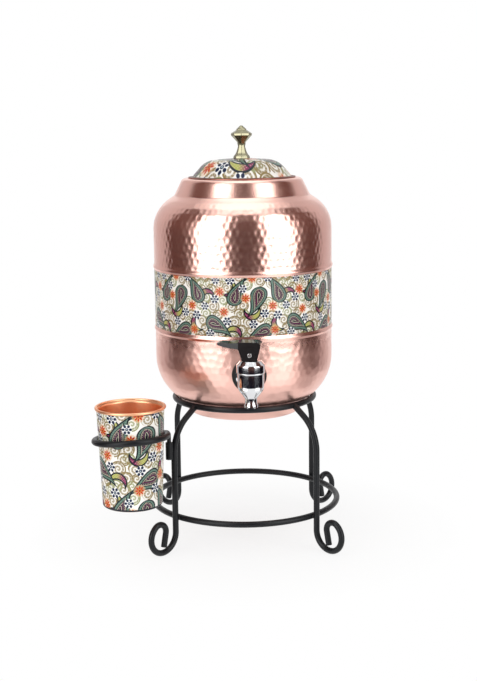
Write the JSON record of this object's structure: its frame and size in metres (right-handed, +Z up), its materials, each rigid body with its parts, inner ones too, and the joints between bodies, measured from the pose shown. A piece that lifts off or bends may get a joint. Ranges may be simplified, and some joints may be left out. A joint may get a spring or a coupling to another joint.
{
  "type": "copper water dispenser",
  "caption": "Copper water pot with a lid and brass knob, a chrome lever tap, a black wire stand with scroll feet, and a copper tumbler held in a side ring",
  "frame": {"origin": "on the pot's axis at floor level, under the centre of the stand", "axes": "+Z up, -Y towards the front where the tap is, +X to the right as seen from the front"},
  "size_m": [0.2455, 0.2356, 0.4134],
  "materials": {
    "stand": "satin black powder coat on round steel wire",
    "copper": "polished copper, hammered on the pot's shoulder and belly",
    "printed_enamel": "white enamel with a printed paisley and flower pattern on copper, glazed",
    "knob_brass": "polished faceted brass",
    "tap_chrome": "polished chrome plate",
    "gasket": "black rubber",
    "lever_black": "glossy black moulded plastic",
    "pin_steel": "bright steel pin",
    "fastener": "plain steel"
  },
  "bodies": {
    "stand": {"top_ring": "stand", "lower_ring": "stand", "leg_front_left": "stand", "leg_front_right": "stand", "leg_back_left": "stand", "leg_back_right": "stand", "holder_socket": "stand"},
    "pot": {"pot_shell": "copper", "tap_body": "tap_chrome", "tap_bonnet": "tap_chrome", "tap_outer_gasket": "gasket", "tap_inner_gasket": "gasket", "tap_lock_nut": "tap_chrome", "tap_spring": "fastener"},
    "lid": {"lid_dome": "printed_enamel", "lid_skirt": "copper", "lid_knob": "knob_brass", "knob_washer": "fastener", "knob_nut": "fastener"},
    "plug": {"tap_plug_seal": "gasket"},
    "stem": {"tap_stem": "tap_chrome", "tap_pivot_pin": "pin_steel"},
    "lever": {"tap_lever": "lever_black"},
    "holder": {"holder_ring": "stand", "holder_prong": "stand"},
    "tumbler": {"tumbler": "printed_enamel"}
  },
  "joints": [
    {"name": "pot_lift", "type": "slide", "parent": "stand", "child": "pot", "axis": [0, 0, 1], "range_m": [0, 0.25]},
    {"name": "lid_lift", "type": "slide", "parent": "pot", "child": "lid", "axis": [0, 0, 1], "range_m": [0, 0.15]},
    {"name": "valve_lift", "type": "slide", "parent": "pot", "child": "plug", "axis": [0, 0, 1], "range_m": [0, 0.00288], "deforming": ["tap_spring"]},
    {"name": "lever_swivel", "type": "hinge", "parent": "plug", "child": "stem", "pos_m": [0.00571, -0.11686, 0.18], "axis": [0, 0, 1], "range_deg": [-28, 224]},
    {"name": "lever_tilt", "type": "hinge", "parent": "stem", "child": "lever", "pos_m": [0.00571, -0.11686, 0.2055], "axis": [-0.1392, -0.9903, 0], "range_deg": [0, 25], "stiffness_Nm_per_rad": 0.35, "springref_deg": -20.05},
    {"name": "holder_swivel", "type": "hinge", "parent": "stand", "child": "holder", "pos_m": [-0.07392, -0.07736, 0.104], "axis": [0, 0, 1], "range_deg": [-45, 70]},
    {"name": "tumbler_lift", "type": "slide", "parent": "holder", "child": "tumbler", "axis": [0, 0, 1], "range_m": [0, 0.12]}
  ],
  "couplings": [
    {"joint": "lever_tilt", "follows": "valve_lift", "rad_per_m": 151.5}
  ]
}
